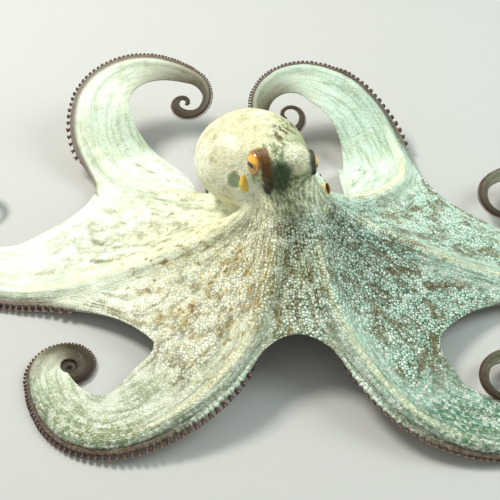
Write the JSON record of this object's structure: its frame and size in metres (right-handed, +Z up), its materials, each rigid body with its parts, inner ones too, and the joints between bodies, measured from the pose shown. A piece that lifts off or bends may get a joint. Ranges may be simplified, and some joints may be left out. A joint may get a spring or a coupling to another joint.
{
  "type": "octopus",
  "caption": "Common octopus gliding over the sea floor, life size: web spread like a tent between arms with curled ends, mantle bulging behind a raised head.",
  "frame": {"origin": "middle of the model's box, on the floor", "axes": "+X to the animal's left, across its spread arms; +Y backwards, away from the side that it faces; +Z up"},
  "size_m": [0.6272, 0.4488, 0.1479],
  "materials": {
    "skin": "moist cream skin in a fine net of rounded cells outlined olive, with brown blotches",
    "skin_web": "moist pale web, finely netted and faintly blue green, its margin paler",
    "skin_tip": "moist brown skin, dark red brown at the curled ends and along the suckers",
    "eye": "wet amber iris with a dark slit pupil"
  },
  "bodies": {
    "root": {"arm_l1_base": "skin", "arm_l1_middle": "skin", "arm_l1_end": "skin", "arm_l1_tip": "skin_tip", "web_l1_l2": "skin_web", "arm_l2_base": "skin", "arm_l2_middle": "skin", "arm_l2_end": "skin", "arm_l2_tip": "skin_tip", "web_l2_l3": "skin_web", "arm_l3_base": "skin", "arm_l3_middle": "skin", "arm_l3_end": "skin", "arm_l3_tip": "skin_tip", "web_l3_l4": "skin_web", "arm_l4_base": "skin", "arm_l4_middle": "skin", "arm_l4_end": "skin", "arm_l4_tip": "skin_tip", "web_l4_r4": "skin_web", "arm_r4_base": "skin", "arm_r4_middle": "skin", "arm_r4_end": "skin", "arm_r4_tip": "skin_tip", "web_r4_r3": "skin_web", "arm_r3_base": "skin", "arm_r3_middle": "skin", "arm_r3_end": "skin", "arm_r3_tip": "skin_tip", "web_r3_r2": "skin_web", "arm_r2_base": "skin", "arm_r2_middle": "skin", "arm_r2_end": "skin", "arm_r2_tip": "skin_tip", "web_r2_r1": "skin_web", "arm_r1_base": "skin", "arm_r1_middle": "skin", "arm_r1_end": "skin", "arm_r1_tip": "skin_tip", "web_r1_l1": "skin_web", "head": "skin", "mantle": "skin", "funnel": "skin", "eye_right": "eye", "eye_left": "eye"}
  },
  "joints": []
}
